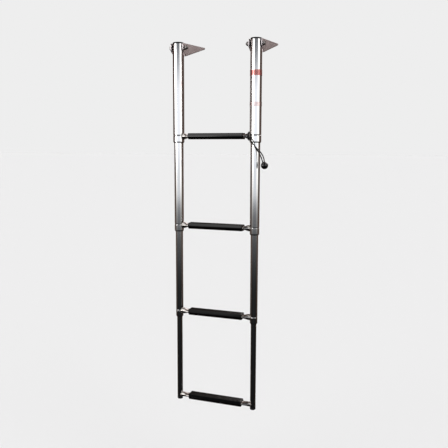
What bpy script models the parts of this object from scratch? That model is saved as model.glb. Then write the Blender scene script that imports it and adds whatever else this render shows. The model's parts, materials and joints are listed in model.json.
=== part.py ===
"""Telescoping four-step boarding ladder for a boat's swim platform.

Metres, +Z up, X across the ladder, +Y towards the boat. The origin is on the deck plane,
straight below the pivot axis and midway between the two deck brackets. The legs hang plumb,
and the brackets' base plane rises towards the boat by BRACKET_TILT.
"""
import math

import bmesh
import bpy
from mathutils import Matrix, Vector

# ---- driving dimensions --------------------------------------------------------------
LEG_SPACING = 0.2737                                 # between the two leg centre lines
TUBE_RADII = (0.01905, 0.015875, 0.0127, 0.009525)   # sections 1 to 4, outside
TUBE_WALLS = (0.0015, 0.0015, 0.0014, 0.0014)
STEP_PITCH = 0.3048                                  # between rung axes, extended
GAP = 0.0003                                         # between pieces that touch or are cut

PIVOT_Z = 0.0307                                     # above the deck plane
TUBE_ABOVE_PIVOT = 0.0124
RUNG_BELOW_TUBE_TOP = 0.3067
LAST_RUNG_DROP = 0.0045                              # the last rung sits this much lower
TUBE_BELOW_RUNG = 0.0203                             # metal end of a tube below its rung axis
BUSH_LIP = 0.0015                                    # lip of a bush below the metal end
BUSH_LIP_TAPER = 0.0008
TUBE_FACETS = 24
SMALL_FACETS = 16
FASTENER_FACETS = 12
SHARP_ANGLE = math.radians(35.0)                     # edges folded more than this stay sharp
ROUND_SHARE = 0.3                                    # middle point of a rounding cut in two
MERGE_DISTANCE = 0.00001

GROOVE_ABOVE_RUNG = 0.0030                           # rolled groove that locks the bush
GROOVE_DEPTH = 0.0006
GROOVE_HALF_WIDTH = 0.0022
END_ROLL = 0.0009                                    # how far a tube's end is rolled in
END_ROLL_HEIGHT = 0.0024
BUSH_TOP = 0.0285                                    # top of a lower bush above the metal end
SLIDER_LENGTH = 0.0120
SLIDER_CAP = 0.0010

BRACKET_TILT = math.radians(15.7)
SHEET = 0.0025
CHANNEL_INSIDE = 0.0204                              # half the width between the ears
BASE_DROP = 0.0297                                   # base plane below the pivot, square to it
BASE_START = 0.0138                                  # front edge of the base behind the pivot
SCREW_HOLES = (0.050, 0.092, 0.134)                  # behind the pivot, along the base
SCREW_RADIUS = 0.0033
SCREW_SINK_RADIUS = 0.0056                           # of a 90 degree sink, at the face
# side outline of an ear: along the base, square to it, corner radius; from the pivot
EAR_OUTLINE = (
    (-0.0090, 0.0162, 0.0040),
    (-0.0150, -0.0070, 0.0090),
    (0.0063, -BASE_DROP, 0.0020),
    (0.1858, -BASE_DROP, 0.0015),
    (0.1858, -0.0236, 0.0035),
)

BOLT_RADIUS = 0.0040
SLEEVE_RADIUS = 0.0060
SLEEVE_BORE = BOLT_RADIUS + GAP
BOLT_HEAD_RADIUS = 0.0075                            # across the corners
BOLT_HEAD = 0.0050
BOLT_CHAMFER = 0.0006
NUT_LENGTH = 0.0080
NUT_COLLAR = 0.0022
NUT_COLLAR_RADIUS = 0.0062
BOLT_STAND_OUT = 0.0020
WASHER_RADIUS = 0.0080
WASHER = 0.0012
SIDE_WASHER_RADIUS = 0.0115
SIDE_WASHER = CHANNEL_INSIDE - TUBE_RADII[0] - 2.0 * GAP

RUNG_RADIUS = 0.0104                                 # where a rung meets its legs
RUNG_TO_TUBE = 0.88                                  # and at most this share of a tube's radius
RUNG_WALL = 0.0013
RUNG_FLAT = (0.0138, 0.0060)                         # half depth and half height under the tread
RUNG_RING = 16
RUNG_STATIONS = 4
RUNG_ROUND_LENGTH = 0.0030                           # kept round at the leg, flat at the tread
RUNG_END_GAP = 0.0004                                # from a rung's shaped end to its leg
TREAD_HALF_LENGTH = 0.0970
TREAD_HALF_DEPTH = 0.0185
TREAD_HALF_HEIGHT = 0.0103
TREAD_CORNER = 0.0040
TREAD_TOP_CORNER = 0.0020
TREAD_TOP_SLOPE = 0.0040                             # how far the sides lean in, to the top
TREAD_BOTTOM_SLOPE = 0.0060                          # and to the bottom

FOOT_BELOW_RUNG = 0.0115                             # metal end of the last tubes
FOOT_GROOVE_ABOVE_END = 0.0026                       # groove rolled in to hold the foot
FOOT_GROOVE_DEPTH = 0.0010
FOOT_GROOVE_HALF_WIDTH = 0.0018
FOOT_HEIGHT = 0.0058                                 # of the foot below the metal end
FOOT_RADIUS = 0.0098
FOOT_ROUNDING = 0.0030
FOOT_PLUG = 0.0120                                   # of the foot inside the tube
PLUG_WALL = 0.0014
TOP_CAP_SKIRT = 0.0055
TOP_CAP_CROWN = 0.0049
TOP_CAP_ROUNDING = 0.0022

BAND_TOPS = (0.0962, 0.1977)                         # below the tube top
BAND_HEIGHTS = (0.0180, 0.0135)
BAND_THICKNESS = 0.0003

CORD_RADIUS = 0.0018
BALL_RADIUS = 0.0120
BALL_CENTRE = (0.1760, -0.0260, -0.3585)
HITCH_X = 0.1148                                     # the strap is hitched round this rung stub
HITCH_RING_RADIUS = 0.0131
# routes of the strap's two strands, from the hitch down across the leg to the ball
STRAND_A = (
    (0.1158, -0.0161, -0.2688),
    (0.1198, -0.0183, -0.2690),
    (0.1245, -0.0210, -0.2720),
    (0.1297, -0.0237, -0.2795),
    (0.1351, -0.0253, -0.2885),
    (0.1430, -0.0260, -0.2995),
    (0.1510, -0.0260, -0.3098),
    (0.1586, -0.0260, -0.3205),
    (0.1645, -0.0260, -0.3322),
    (0.1681, -0.0260, -0.3420),
    (0.1699, -0.0260, -0.3478),
)
STRAND_B = (
    (0.1158, -0.0171, -0.2630),
    (0.1196, -0.0208, -0.2645),
    (0.1243, -0.0243, -0.2693),
    (0.1303, -0.0270, -0.2773),
    (0.1364, -0.0290, -0.2868),
    (0.1448, -0.0301, -0.2972),
    (0.1540, -0.0299, -0.3065),
    (0.1632, -0.0286, -0.3160),
    (0.1703, -0.0270, -0.3272),
    (0.1742, -0.0262, -0.3385),
    (0.1753, -0.0260, -0.3461),
)
STRAND_POINTS = 21
CORD_SIDES = 8

LEG_SIDES = (("left", -1.0), ("right", 1.0))
SECTIONS = (1, 2, 3, 4)

TUBE_TOP = PIVOT_Z + TUBE_ABOVE_PIVOT
LEG_X = LEG_SPACING / 2.0


def rung_z(section):
    """Height of a section's rung axis, extended."""
    drop = LAST_RUNG_DROP if section == 4 else 0.0
    return TUBE_TOP - RUNG_BELOW_TUBE_TOP - STEP_PITCH * (section - 1) - drop


def tube_end(section):
    """Height of the metal lower end of a section's tubes."""
    below = FOOT_BELOW_RUNG if section == 4 else TUBE_BELOW_RUNG
    return rung_z(section) - below


def tube_top(section):
    """Height of the top of a section's tubes."""
    if section == 1:
        return TUBE_TOP
    return tube_end(section - 1) + BUSH_TOP + GAP + SLIDER_LENGTH - SLIDER_CAP


# ---- materials -----------------------------------------------------------------------
FINISHES = {
    "polished_steel": ((0.80, 0.79, 0.78, 1.0), 1.0, 0.08),
    "satin_steel": ((0.55, 0.53, 0.54, 1.0), 1.0, 0.35),
    "fastener_steel": ((0.66, 0.65, 0.64, 1.0), 1.0, 0.22),
    "tread_plastic": ((0.012, 0.012, 0.013, 1.0), 0.0, 0.45),
    "bush_plastic": ((0.018, 0.018, 0.019, 1.0), 0.0, 0.55),
    "washer_nylon": ((0.75, 0.74, 0.70, 1.0), 0.0, 0.5),
    "band_red": ((0.72, 0.10, 0.07, 1.0), 0.0, 0.4),
    "cord_black": ((0.015, 0.015, 0.016, 1.0), 0.0, 0.8),
    "ball_plastic": ((0.010, 0.010, 0.011, 1.0), 0.0, 0.15),
}


def make_material(name):
    """A Principled material in one of the finishes above."""
    colour, metallic, roughness = FINISHES[name]
    material = bpy.data.materials.new(name)
    material.use_nodes = True
    shader = material.node_tree.nodes["Principled BSDF"]
    shader.inputs["Base Color"].default_value = colour
    shader.inputs["Metallic"].default_value = metallic
    shader.inputs["Roughness"].default_value = roughness
    return material


# ---- scene and object helpers --------------------------------------------------------
def clear_scene():
    """Remove every object of the scene."""
    for old in list(bpy.data.objects):
        bpy.data.objects.remove(old, do_unlink=True)


def make_collection(name):
    """A new collection under the scene's own."""
    collection = bpy.data.collections.new(name)
    bpy.context.scene.collection.children.link(collection)
    return collection


def add_mesh(name, mesh, material, location=(0.0, 0.0, 0.0)):
    """An object for a mesh, in the parts' collection."""
    thing = bpy.data.objects.new(name, mesh)
    PARTS.objects.link(thing)
    thing.location = location
    mesh.materials.append(MATERIALS[material])
    mesh.shade_smooth()
    mesh.set_sharp_from_angle(angle=SHARP_ANGLE)
    return thing


def finish_bmesh(name, bm):
    """Turn a bmesh into mesh data with its faces outward."""
    bm.normal_update()
    bmesh.ops.recalc_face_normals(bm, faces=bm.faces)
    mesh = bpy.data.meshes.new(name)
    bm.to_mesh(mesh)
    bm.free()
    return mesh


def turned(name, profile, material, location, axis="Z", facets=TUBE_FACETS, closed=False):
    """A turned piece: (radius, height) points down the outer side, with a Screw modifier."""
    bm = bmesh.new()
    points = [bm.verts.new((radius, 0.0, height)) for radius, height in profile]
    for first, second in zip(points, points[1:]):
        bm.edges.new((first, second))
    if closed:
        bm.edges.new((points[-1], points[0]))
    mesh = bpy.data.meshes.new(name)
    bm.to_mesh(mesh)
    bm.free()
    thing = add_mesh(name, mesh, material, location)
    screw = thing.modifiers.new("turn", "SCREW")
    screw.axis = "Z"
    screw.angle = math.radians(360.0)
    screw.steps = facets
    screw.render_steps = facets
    screw.use_smooth_shade = True
    screw.use_merge_vertices = True
    screw.merge_threshold = MERGE_DISTANCE
    if axis == "X":
        thing.rotation_euler = (0.0, math.radians(90.0), 0.0)
    return thing


def evaluated_copy(thing):
    """The mesh that an object's modifiers give, as new mesh data."""
    bpy.context.view_layer.update()
    graph = bpy.context.evaluated_depsgraph_get()
    return bpy.data.meshes.new_from_object(thing.evaluated_get(graph))


def apply_modifiers(thing):
    """Replace an object's modifiers by their result."""
    result = evaluated_copy(thing)
    thing.modifiers.clear()
    thing.data = result


def cutter(name, mesh, location=(0.0, 0.0, 0.0), rotation=(0.0, 0.0, 0.0)):
    """A wire object in the cutters' collection."""
    thing = bpy.data.objects.new(name, mesh)
    CUTTERS.objects.link(thing)
    thing.location = location
    thing.rotation_euler = rotation
    thing.hide_render = True
    thing.display_type = "WIRE"
    return thing


def cut(target, tool):
    """Take one object away from another."""
    modifier = target.modifiers.new("cut_" + tool.name, "BOOLEAN")
    modifier.operation = "DIFFERENCE"
    modifier.object = tool


def cylinder_mesh(name, radius, length, facets, axis="Z", top_radius=None):
    """A cylinder or cone about one axis, centred."""
    bm = bmesh.new()
    other = radius if top_radius is None else top_radius
    bmesh.ops.create_cone(bm, cap_ends=True, segments=facets, radius1=radius, radius2=other,
                          depth=length)
    if axis == "X":
        bm.transform(Matrix.Rotation(math.radians(90.0), 4, "Y"))
    return finish_bmesh(name, bm)


def box_mesh(name, low, high):
    """A box between two corners."""
    bm = bmesh.new()
    bmesh.ops.create_cube(bm, size=1.0)
    for vert in bm.verts:
        for i in range(3):
            vert.co[i] = low[i] + (vert.co[i] + 0.5) * (high[i] - low[i])
    return finish_bmesh(name, bm)


def rounded_outline(corners, steps=5):
    """Points of a closed outline whose corners (x, y, radius) are rounded by arcs."""
    points = []
    count = len(corners)
    for i, (x, y, radius) in enumerate(corners):
        here = Vector((x, y))
        before = (Vector(corners[i - 1][:2]) - here).normalized()
        after = (Vector(corners[(i + 1) % count][:2]) - here).normalized()
        half = before.angle(after) / 2.0
        centre = here + (before + after).normalized() * (radius / math.sin(half))
        start = here + before * (radius / math.tan(half)) - centre
        end = here + after * (radius / math.tan(half)) - centre
        turn = start.angle_signed(end)
        for k in range(steps + 1):
            angle = -turn * k / steps
            points.append(centre + Matrix.Rotation(angle, 2) @ start)
    return points


def extruded_outline(name, outlines, half_width):
    """Mesh of flat outlines (the later ones are holes) extruded along X; outline x is Y."""
    curve = bpy.data.curves.new(name, "CURVE")
    curve.dimensions = "2D"
    curve.fill_mode = "BOTH"
    curve.extrude = half_width
    for outline in outlines:
        spline = curve.splines.new("POLY")
        spline.points.add(len(outline) - 1)
        for point, place in zip(spline.points, outline):
            point.co = (place[0], place[1], 0.0, 1.0)
        spline.use_cyclic_u = True
    thing = bpy.data.objects.new(name + "_outline", curve)
    CUTTERS.objects.link(thing)
    mesh = evaluated_copy(thing)
    bpy.data.objects.remove(thing)
    bm = bmesh.new()
    bm.from_mesh(mesh)
    bmesh.ops.remove_doubles(bm, verts=bm.verts, dist=MERGE_DISTANCE)
    # curve x, y, z become Y, Z, X
    bm.transform(Matrix(((0, 0, 1, 0), (1, 0, 0, 0), (0, 1, 0, 0), (0, 0, 0, 1))))
    return finish_bmesh(name, bm)


# ---- legs ----------------------------------------------------------------------------
def tube_profile(section):
    """Closed (radius, height) profile of a leg tube, down the outside and up the bore."""
    outer = TUBE_RADII[section - 1]
    bore = outer - TUBE_WALLS[section - 1]
    top = tube_top(section)
    end = tube_end(section)
    if section < 4:
        groove, deep, wide = rung_z(section) + GROOVE_ABOVE_RUNG, GROOVE_DEPTH, GROOVE_HALF_WIDTH
        finish = [(outer, end + END_ROLL_HEIGHT), (outer - END_ROLL, end), (bore, end)]
    else:
        groove, deep, wide = end + FOOT_GROOVE_ABOVE_END, FOOT_GROOVE_DEPTH, FOOT_GROOVE_HALF_WIDTH
        finish = [(outer, end), (bore, end)]
    wave = ((wide, 0.0), (0.0, deep), (-wide, 0.0))
    outside = [(outer - depth, groove + height) for height, depth in wave]
    inside = [(bore - depth, groove - height) for height, depth in wave]
    return [(outer, top)] + outside + finish + inside + [(bore, top)]


def make_leg_tubes():
    """The eight leg tubes, with the sleeve holes through the two upper ones."""
    for section in SECTIONS:
        for side, sign in LEG_SIDES:
            name = "%s_tube_%d" % (side, section)
            tube = turned(name, tube_profile(section), "polished_steel",
                          (sign * LEG_X, 0.0, 0.0), closed=True)
            if section == 1:
                hole = cylinder_mesh(name + "_hole", SLEEVE_RADIUS + GAP, 0.060, SMALL_FACETS, "X")
                cut(tube, cutter(name + "_hole", hole, (sign * LEG_X, 0.0, PIVOT_Z)))


def make_lower_bushes():
    """Nylon bushes in the lower ends of the tubes of sections 1 to 3."""
    for section in SECTIONS[:3]:
        outer = TUBE_RADII[section - 1] - TUBE_WALLS[section - 1] - GAP
        bore = TUBE_RADII[section] + GAP
        end = tube_end(section)
        groove = rung_z(section) + GROOVE_ABOVE_RUNG
        wide = GROOVE_HALF_WIDTH + GAP
        lip = TUBE_RADII[section - 1] - END_ROLL
        profile = [
            (outer, end + BUSH_TOP),
            (outer, groove + 1.5 * wide),
            (outer - GROOVE_DEPTH, groove),
            (outer, groove - 1.5 * wide),
            (outer, end - GAP),
            (lip, end - GAP),
            (lip - BUSH_LIP_TAPER, end - BUSH_LIP),
            (bore, end - BUSH_LIP),
            (bore, end + BUSH_TOP),
        ]
        for side, sign in LEG_SIDES:
            turned("%s_lower_bush_%d" % (side, section), profile, "bush_plastic",
                   (sign * LEG_X, 0.0, 0.0), closed=True)


def make_upper_sliders():
    """Nylon sliders on the upper ends of the tubes of sections 2 to 4."""
    for section in SECTIONS[1:]:
        outer = TUBE_RADII[section - 2] - TUBE_WALLS[section - 2] - GAP
        grip = TUBE_RADII[section - 1] + GAP
        bore = TUBE_RADII[section - 1] - TUBE_WALLS[section - 1]
        top = tube_top(section)
        profile = [
            (outer, top + SLIDER_CAP),
            (outer, top + SLIDER_CAP - SLIDER_LENGTH),
            (grip, top + SLIDER_CAP - SLIDER_LENGTH),
            (grip, top + GAP),
            (bore, top + GAP),
            (bore, top + SLIDER_CAP),
        ]
        for side, sign in LEG_SIDES:
            turned("%s_slider_%d" % (side, section), profile, "bush_plastic",
                   (sign * LEG_X, 0.0, 0.0), closed=True)


def make_top_caps():
    """Black plastic plugs in the tops of the two upper tubes."""
    outer = TUBE_RADII[0]
    plug = outer - TUBE_WALLS[0] - GAP
    base = TUBE_TOP + GAP
    top = TUBE_TOP + TOP_CAP_CROWN
    profile = [
        (0.0, top),
        (outer - TOP_CAP_ROUNDING, top),
        (outer - ROUND_SHARE * TOP_CAP_ROUNDING, top - ROUND_SHARE * TOP_CAP_ROUNDING),
        (outer, top - TOP_CAP_ROUNDING),
        (outer, base),
        (plug, base),
        (plug, TUBE_TOP - TOP_CAP_SKIRT),
        (plug - PLUG_WALL, TUBE_TOP - TOP_CAP_SKIRT),
        (plug - PLUG_WALL, base),
        (0.0, base),
    ]
    for side, sign in LEG_SIDES:
        turned(side + "_top_cap", profile, "bush_plastic", (sign * LEG_X, 0.0, 0.0))


def make_foot_caps():
    """Black plastic feet plugged into the tubes of the last section."""
    plug = TUBE_RADII[3] - TUBE_WALLS[3] - FOOT_GROOVE_DEPTH - GAP
    end = tube_end(4)
    low = end - FOOT_HEIGHT
    profile = [
        (0.0, end),
        (plug - PLUG_WALL, end),
        (plug - PLUG_WALL, end + FOOT_PLUG),
        (plug, end + FOOT_PLUG),
        (plug, end - GAP),
        (FOOT_RADIUS, end - GAP),
        (FOOT_RADIUS, low + FOOT_ROUNDING),
        (FOOT_RADIUS - ROUND_SHARE * FOOT_ROUNDING, low + ROUND_SHARE * FOOT_ROUNDING),
        (FOOT_RADIUS - FOOT_ROUNDING, low),
        (0.0, low),
    ]
    for side, sign in LEG_SIDES:
        turned(side + "_foot_cap", profile, "bush_plastic", (sign * LEG_X, 0.0, 0.0))


# ---- rungs and treads ----------------------------------------------------------------
def rung_ring(radius_y, radius_z):
    """Points (y, z) of a rung's section, round or a flat oval."""
    ring = []
    for k in range(RUNG_RING):
        angle = 2.0 * math.pi * k / RUNG_RING
        ring.append((radius_y * math.cos(angle), radius_z * math.sin(angle)))
    return ring


def rung_stations(section):
    """(x, half depth, half height) from the leg inwards, on the +X side."""
    leg = LEG_X - TUBE_RADII[section - 1]
    round_to = leg - RUNG_ROUND_LENGTH
    flat_from = TREAD_HALF_LENGTH + RUNG_ROUND_LENGTH
    radius = min(RUNG_RADIUS, RUNG_TO_TUBE * TUBE_RADII[section - 1])
    stations = [(leg, radius, radius)]
    for k in range(1, RUNG_STATIONS + 1):
        share = k / RUNG_STATIONS
        ease = share * share * (3.0 - 2.0 * share)
        x = round_to + (flat_from - round_to) * share
        half_depth = radius + (RUNG_FLAT[0] - radius) * ease
        half_height = radius + (RUNG_FLAT[1] - radius) * ease
        stations.append((x, half_depth, half_height))
    return stations


def rung_shell(bm, section, inset):
    """Rings of vertices along a rung, from the left end to the right one."""
    leg = TUBE_RADII[section - 1] + RUNG_END_GAP
    rings = []
    stations = rung_stations(section)
    whole = [(-1.0, station) for station in stations]
    whole += [(1.0, station) for station in reversed(stations)]
    for sign, (x, half_depth, half_height) in whole:
        ring = []
        for y, z in rung_ring(half_depth - inset, half_height - inset):
            reach = x
            if x == stations[0][0]:
                reach = LEG_X - math.sqrt(leg * leg - y * y)
            ring.append(bm.verts.new((sign * reach, y, z)))
        rings.append(ring)
    return rings


def make_rungs():
    """Hollow rungs: round at the legs, pressed flat under the tread."""
    for section in SECTIONS:
        bm = bmesh.new()
        outer = rung_shell(bm, section, 0.0)
        inner = rung_shell(bm, section, RUNG_WALL)
        for rings in (outer, inner):
            for first, second in zip(rings, rings[1:]):
                for k in range(RUNG_RING):
                    n = (k + 1) % RUNG_RING
                    bm.faces.new((first[k], first[n], second[n], second[k]))
        for end in (0, -1):
            for k in range(RUNG_RING):
                n = (k + 1) % RUNG_RING
                bm.faces.new((outer[end][k], outer[end][n], inner[end][n], inner[end][k]))
        mesh = finish_bmesh("rung_%d" % section, bm)
        add_mesh("rung_%d" % section, mesh, "polished_steel", (0.0, 0.0, rung_z(section)))


def make_treads():
    """Moulded plastic treads, each a sleeve over the flat stretch of its rung."""
    top = TREAD_HALF_DEPTH - TREAD_TOP_SLOPE
    bottom = TREAD_HALF_DEPTH - TREAD_BOTTOM_SLOPE
    outside = rounded_outline((
        (-top, TREAD_HALF_HEIGHT, TREAD_TOP_CORNER),
        (-TREAD_HALF_DEPTH, 0.0, TREAD_CORNER),
        (-bottom, -TREAD_HALF_HEIGHT, TREAD_CORNER),
        (bottom, -TREAD_HALF_HEIGHT, TREAD_CORNER),
        (TREAD_HALF_DEPTH, 0.0, TREAD_CORNER),
        (top, TREAD_HALF_HEIGHT, TREAD_TOP_CORNER),
    ), steps=2)
    bore = rung_ring(RUNG_FLAT[0] + GAP, RUNG_FLAT[1] + GAP)
    mesh = extruded_outline("tread", (outside, bore), TREAD_HALF_LENGTH)
    for section in SECTIONS:
        add_mesh("tread_%d" % section, mesh.copy(), "tread_plastic", (0.0, 0.0, rung_z(section)))


# ---- deck brackets and pivots --------------------------------------------------------
def make_brackets():
    """Folded channel brackets: two ears round the leg, and a base on the deck."""
    mesh = extruded_outline("bracket", (rounded_outline(EAR_OUTLINE),), CHANNEL_INSIDE + SHEET)
    long = 0.30
    channel = box_mesh("channel", (-CHANNEL_INSIDE, -long, SHEET - BASE_DROP),
                       (CHANNEL_INSIDE, long, long))
    front = box_mesh("front", (-CHANNEL_INSIDE, -long, -long), (CHANNEL_INSIDE, BASE_START, long))
    screw = cylinder_mesh("screw", SCREW_RADIUS, 0.020, SMALL_FACETS)
    wide = 2.0 * SCREW_SINK_RADIUS
    sink = cylinder_mesh("sink", 0.0, wide, SMALL_FACETS, top_radius=wide)
    bolt = cylinder_mesh("bolt", BOLT_RADIUS + GAP, 0.100, SMALL_FACETS, "X")
    turn = (BRACKET_TILT, 0.0, 0.0)
    tilt = Matrix.Rotation(BRACKET_TILT, 4, "X")
    for side, sign in LEG_SIDES:
        pivot = Vector((sign * LEG_X, 0.0, PIVOT_Z))
        bracket = add_mesh(side + "_bracket", mesh.copy(), "satin_steel", pivot)
        bracket.rotation_euler = turn
        cut(bracket, cutter(side + "_channel", channel, pivot, turn))
        cut(bracket, cutter(side + "_front", front, pivot, turn))
        cut(bracket, cutter(side + "_bolt_hole", bolt, pivot, turn))
        for k, along in enumerate(SCREW_HOLES):
            place = pivot + tilt @ Vector((0.0, along, -BASE_DROP))
            sunk = pivot + tilt @ Vector((0.0, along, SHEET - BASE_DROP))
            tag = "%s_%d" % (side, k)
            cut(bracket, cutter("screw_" + tag, screw, place, turn))
            cut(bracket, cutter("sink_" + tag, sink, sunk, turn))


def ring_x(name, inner, outer, low, high, material, centre, facets):
    """A washer-like ring about X between two distances from the leg's centre line."""
    profile = [(outer, high), (outer, low), (inner, low), (inner, high)]
    return turned(name, profile, material, centre, axis="X", facets=facets, closed=True)


def make_pivots():
    """Bolt, locking nut, washers and cross sleeve at the top of each leg."""
    ear = CHANNEL_INSIDE + SHEET
    under_head = ear + GAP + WASHER + GAP
    for side, sign in LEG_SIDES:
        centre = (sign * LEG_X, 0.0, PIVOT_Z)
        shank_end = under_head + NUT_LENGTH + GAP + BOLT_STAND_OUT
        head = [(0.0, under_head + BOLT_HEAD),
                (BOLT_HEAD_RADIUS - BOLT_CHAMFER, under_head + BOLT_HEAD),
                (BOLT_HEAD_RADIUS, under_head + BOLT_HEAD - BOLT_CHAMFER),
                (BOLT_HEAD_RADIUS, under_head), (BOLT_RADIUS, under_head)]
        shank = [(BOLT_RADIUS, BOLT_CHAMFER - shank_end),
                 (BOLT_RADIUS - BOLT_CHAMFER, -shank_end), (0.0, -shank_end)]
        bolt = turned(side + "_pivot_bolt", head + shank, "fastener_steel", centre, "X",
                      FASTENER_FACETS)
        nut_end = under_head + NUT_LENGTH
        nut = turned(side + "_pivot_nut",
                     [(NUT_COLLAR_RADIUS, nut_end), (NUT_COLLAR_RADIUS, nut_end - NUT_COLLAR),
                      (BOLT_HEAD_RADIUS, nut_end - NUT_COLLAR - BOLT_CHAMFER),
                      (BOLT_HEAD_RADIUS, under_head), (BOLT_RADIUS + GAP, under_head),
                      (BOLT_RADIUS + GAP, nut_end)],
                     "fastener_steel", centre, "X", FASTENER_FACETS, closed=True)
        bolt.rotation_euler = (0.0, math.radians(90.0) * sign, 0.0)
        nut.rotation_euler = (0.0, -math.radians(90.0) * sign, 0.0)
        ring_x(side + "_pivot_sleeve", SLEEVE_BORE, SLEEVE_RADIUS, -TUBE_RADII[0], TUBE_RADII[0],
               "fastener_steel", centre, SMALL_FACETS)
        for place, flip in (("outer", sign), ("inner", -sign)):
            washers = (
                ("flat_washer", WASHER_RADIUS, ear + GAP, WASHER, "fastener_steel"),
                ("side_washer", SIDE_WASHER_RADIUS, TUBE_RADII[0] + GAP, SIDE_WASHER,
                 "washer_nylon"),
            )
            for kind, radius, start, thick, material in washers:
                low, high = sorted((flip * start, flip * (start + thick)))
                ring_x("%s_%s_%s" % (side, place, kind), BOLT_RADIUS + GAP, radius, low, high,
                       material, centre, SMALL_FACETS)


# ---- bands and retaining strap -------------------------------------------------------
def make_bands():
    """Two thin plain bands stuck round the upper part of the right leg."""
    inner = TUBE_RADII[0] + GAP
    for k, (below, height) in enumerate(zip(BAND_TOPS, BAND_HEIGHTS)):
        top = TUBE_TOP - below
        profile = [(inner + BAND_THICKNESS, top), (inner + BAND_THICKNESS, top - height),
                   (inner, top - height), (inner, top)]
        turned("band_%d" % (k + 1), profile, "band_red", (LEG_X, 0.0, 0.0), closed=True)


def smooth_route(route, count):
    """Points read from a Catmull-Rom curve through the route's own points."""
    points = [Vector(place) for place in route]
    padded = [2.0 * points[0] - points[1]] + points + [2.0 * points[-1] - points[-2]]
    spans = len(points) - 1
    result = []
    for k in range(count):
        place = spans * k / (count - 1)
        i = min(int(place), spans - 1)
        t = place - i
        a, b, c, d = padded[i:i + 4]
        result.append(0.5 * (2.0 * b + (c - a) * t + (2.0 * a - 5.0 * b + 4.0 * c - d) * t * t
                             + (3.0 * b - a - 3.0 * c + d) * t * t * t))
    return result


def make_strand(name, route):
    """A cord tube along a smooth route."""
    curve = bpy.data.curves.new(name, "CURVE")
    curve.dimensions = "3D"
    curve.bevel_depth = CORD_RADIUS
    curve.bevel_resolution = 2
    curve.use_fill_caps = True
    spline = curve.splines.new("POLY")
    spline.points.add(STRAND_POINTS - 1)
    for point, place in zip(spline.points, smooth_route(route, STRAND_POINTS)):
        point.co = (*place, 1.0)
    curve.materials.append(MATERIALS["cord_black"])
    thing = bpy.data.objects.new(name, curve)
    PARTS.objects.link(thing)
    return thing


def make_strap():
    """The elastic retaining strap: a hitch round the rung stub, two strands and a ball."""
    section = []
    for k in range(CORD_SIDES):
        turn = 2.0 * math.pi * k / CORD_SIDES
        section.append((HITCH_RING_RADIUS + CORD_RADIUS * math.cos(turn),
                        -CORD_RADIUS * math.sin(turn)))
    turned("strap_hitch", section, "cord_black", (HITCH_X, 0.0, rung_z(1)), "X",
           SMALL_FACETS, closed=True)
    make_strand("strap_strand_a", STRAND_A)
    make_strand("strap_strand_b", STRAND_B)
    bm = bmesh.new()
    bmesh.ops.create_uvsphere(bm, u_segments=16, v_segments=10, radius=BALL_RADIUS)
    add_mesh("strap_ball", finish_bmesh("strap_ball", bm), "ball_plastic", BALL_CENTRE)


# ---- build ---------------------------------------------------------------------------
clear_scene()
PARTS = make_collection("boarding_ladder")
CUTTERS = make_collection("cutters")
MATERIALS = {name: make_material(name) for name in FINISHES}
make_brackets()
make_pivots()
make_leg_tubes()
make_top_caps()
make_lower_bushes()
make_upper_sliders()
make_foot_caps()
make_rungs()
make_treads()
make_bands()
make_strap()
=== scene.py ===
"""Looks for the telescoping boarding ladder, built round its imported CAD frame.

Metres, in the CAD's own frame: +Z up, X across the ladder, +Y towards the boat. Every piece
rides on a CAD body and stands for the CAD node that it refines.
"""
import json
import math

import bmesh
import bpy
from mathutils import Matrix, Vector

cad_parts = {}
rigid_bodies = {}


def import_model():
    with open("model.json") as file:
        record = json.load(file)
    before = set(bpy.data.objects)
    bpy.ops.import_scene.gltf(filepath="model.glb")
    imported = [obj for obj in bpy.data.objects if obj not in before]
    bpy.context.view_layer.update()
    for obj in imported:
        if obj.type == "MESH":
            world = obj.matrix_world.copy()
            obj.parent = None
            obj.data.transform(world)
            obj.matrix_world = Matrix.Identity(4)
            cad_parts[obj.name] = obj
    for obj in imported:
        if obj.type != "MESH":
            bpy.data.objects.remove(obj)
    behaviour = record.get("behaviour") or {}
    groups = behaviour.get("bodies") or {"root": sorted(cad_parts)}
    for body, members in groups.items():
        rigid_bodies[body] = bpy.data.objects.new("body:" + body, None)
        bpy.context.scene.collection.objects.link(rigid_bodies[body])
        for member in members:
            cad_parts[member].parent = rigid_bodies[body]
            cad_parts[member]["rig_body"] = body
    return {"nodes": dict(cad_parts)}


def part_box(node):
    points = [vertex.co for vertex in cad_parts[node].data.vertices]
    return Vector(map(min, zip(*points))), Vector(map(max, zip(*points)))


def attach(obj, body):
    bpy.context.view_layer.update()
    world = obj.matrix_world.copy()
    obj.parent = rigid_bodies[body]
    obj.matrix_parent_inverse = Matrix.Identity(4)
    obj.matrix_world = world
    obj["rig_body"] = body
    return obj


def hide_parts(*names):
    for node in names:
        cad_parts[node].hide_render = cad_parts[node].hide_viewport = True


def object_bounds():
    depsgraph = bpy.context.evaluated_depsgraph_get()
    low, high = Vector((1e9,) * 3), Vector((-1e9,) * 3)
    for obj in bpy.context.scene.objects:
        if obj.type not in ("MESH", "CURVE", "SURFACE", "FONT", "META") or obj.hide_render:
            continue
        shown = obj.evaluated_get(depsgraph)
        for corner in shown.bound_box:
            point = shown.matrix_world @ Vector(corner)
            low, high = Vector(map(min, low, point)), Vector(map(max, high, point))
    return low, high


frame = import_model()
cad_box = [list(corner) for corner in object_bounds()]

# ---- sizes read from the frame ----
SIDES = (("left", -1.0), ("right", 1.0))
SECTIONS = (1, 2, 3, 4)


def low_of(node, axis=2):
    """Lowest value of a CAD node along one axis."""
    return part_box(node)[0][axis]


def high_of(node, axis=2):
    """Highest value of a CAD node along one axis."""
    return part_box(node)[1][axis]


def centre_of(node, axis):
    """Middle of a CAD node's box along one axis."""
    return (low_of(node, axis) + high_of(node, axis)) / 2.0


def size_of(node, axis):
    """Size of a CAD node's box along one axis."""
    return high_of(node, axis) - low_of(node, axis)


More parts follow.
